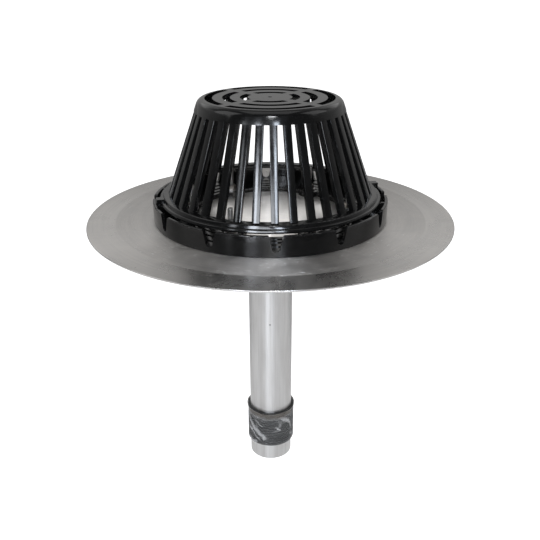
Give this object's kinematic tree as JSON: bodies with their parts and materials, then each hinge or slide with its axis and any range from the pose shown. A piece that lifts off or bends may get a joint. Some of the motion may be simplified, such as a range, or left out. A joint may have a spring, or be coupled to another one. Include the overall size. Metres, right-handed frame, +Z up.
{
  "type": "flat roof drain",
  "caption": "Retrofit flat roof drain: spun flange and stem, notched clamping ring on studs, barred dome strainer and a wrapped stem seal.",
  "frame": {"origin": "on the drain's axis at the flange's underside, where it lies on the roof deck", "axes": "+Z up along the stem's axis towards the strainer; -Y faces the viewer of the picture"},
  "size_m": [0.4444, 0.4444, 0.4945],
  "materials": {
    "spun_aluminium": "mill finish, spun",
    "ring_plastic": "gloss",
    "dome_plastic": "satin gloss",
    "seal_rubber": "ribbed",
    "wrap_film": "clear wrinkled film",
    "stud_steel": "threaded",
    "washer_steel": "zinc plated",
    "nut_steel": "zinc plated"
  },
  "bodies": {
    "root": {"drain_body": "spun_aluminium", "clamp_ring": "ring_plastic", "dome_strainer": "dome_plastic", "seal_sleeve": "seal_rubber", "seal_wrap": "wrap_film", "stud_1": "stud_steel", "stud_2": "stud_steel", "stud_3": "stud_steel", "stud_4": "stud_steel", "stud_5": "stud_steel", "stud_6": "stud_steel", "washer_1": "washer_steel", "washer_2": "washer_steel", "washer_3": "washer_steel", "washer_4": "washer_steel", "washer_5": "washer_steel", "washer_6": "washer_steel", "nut_1": "nut_steel", "nut_2": "nut_steel", "nut_3": "nut_steel", "nut_4": "nut_steel", "nut_5": "nut_steel", "nut_6": "nut_steel"}
  },
  "joints": []
}
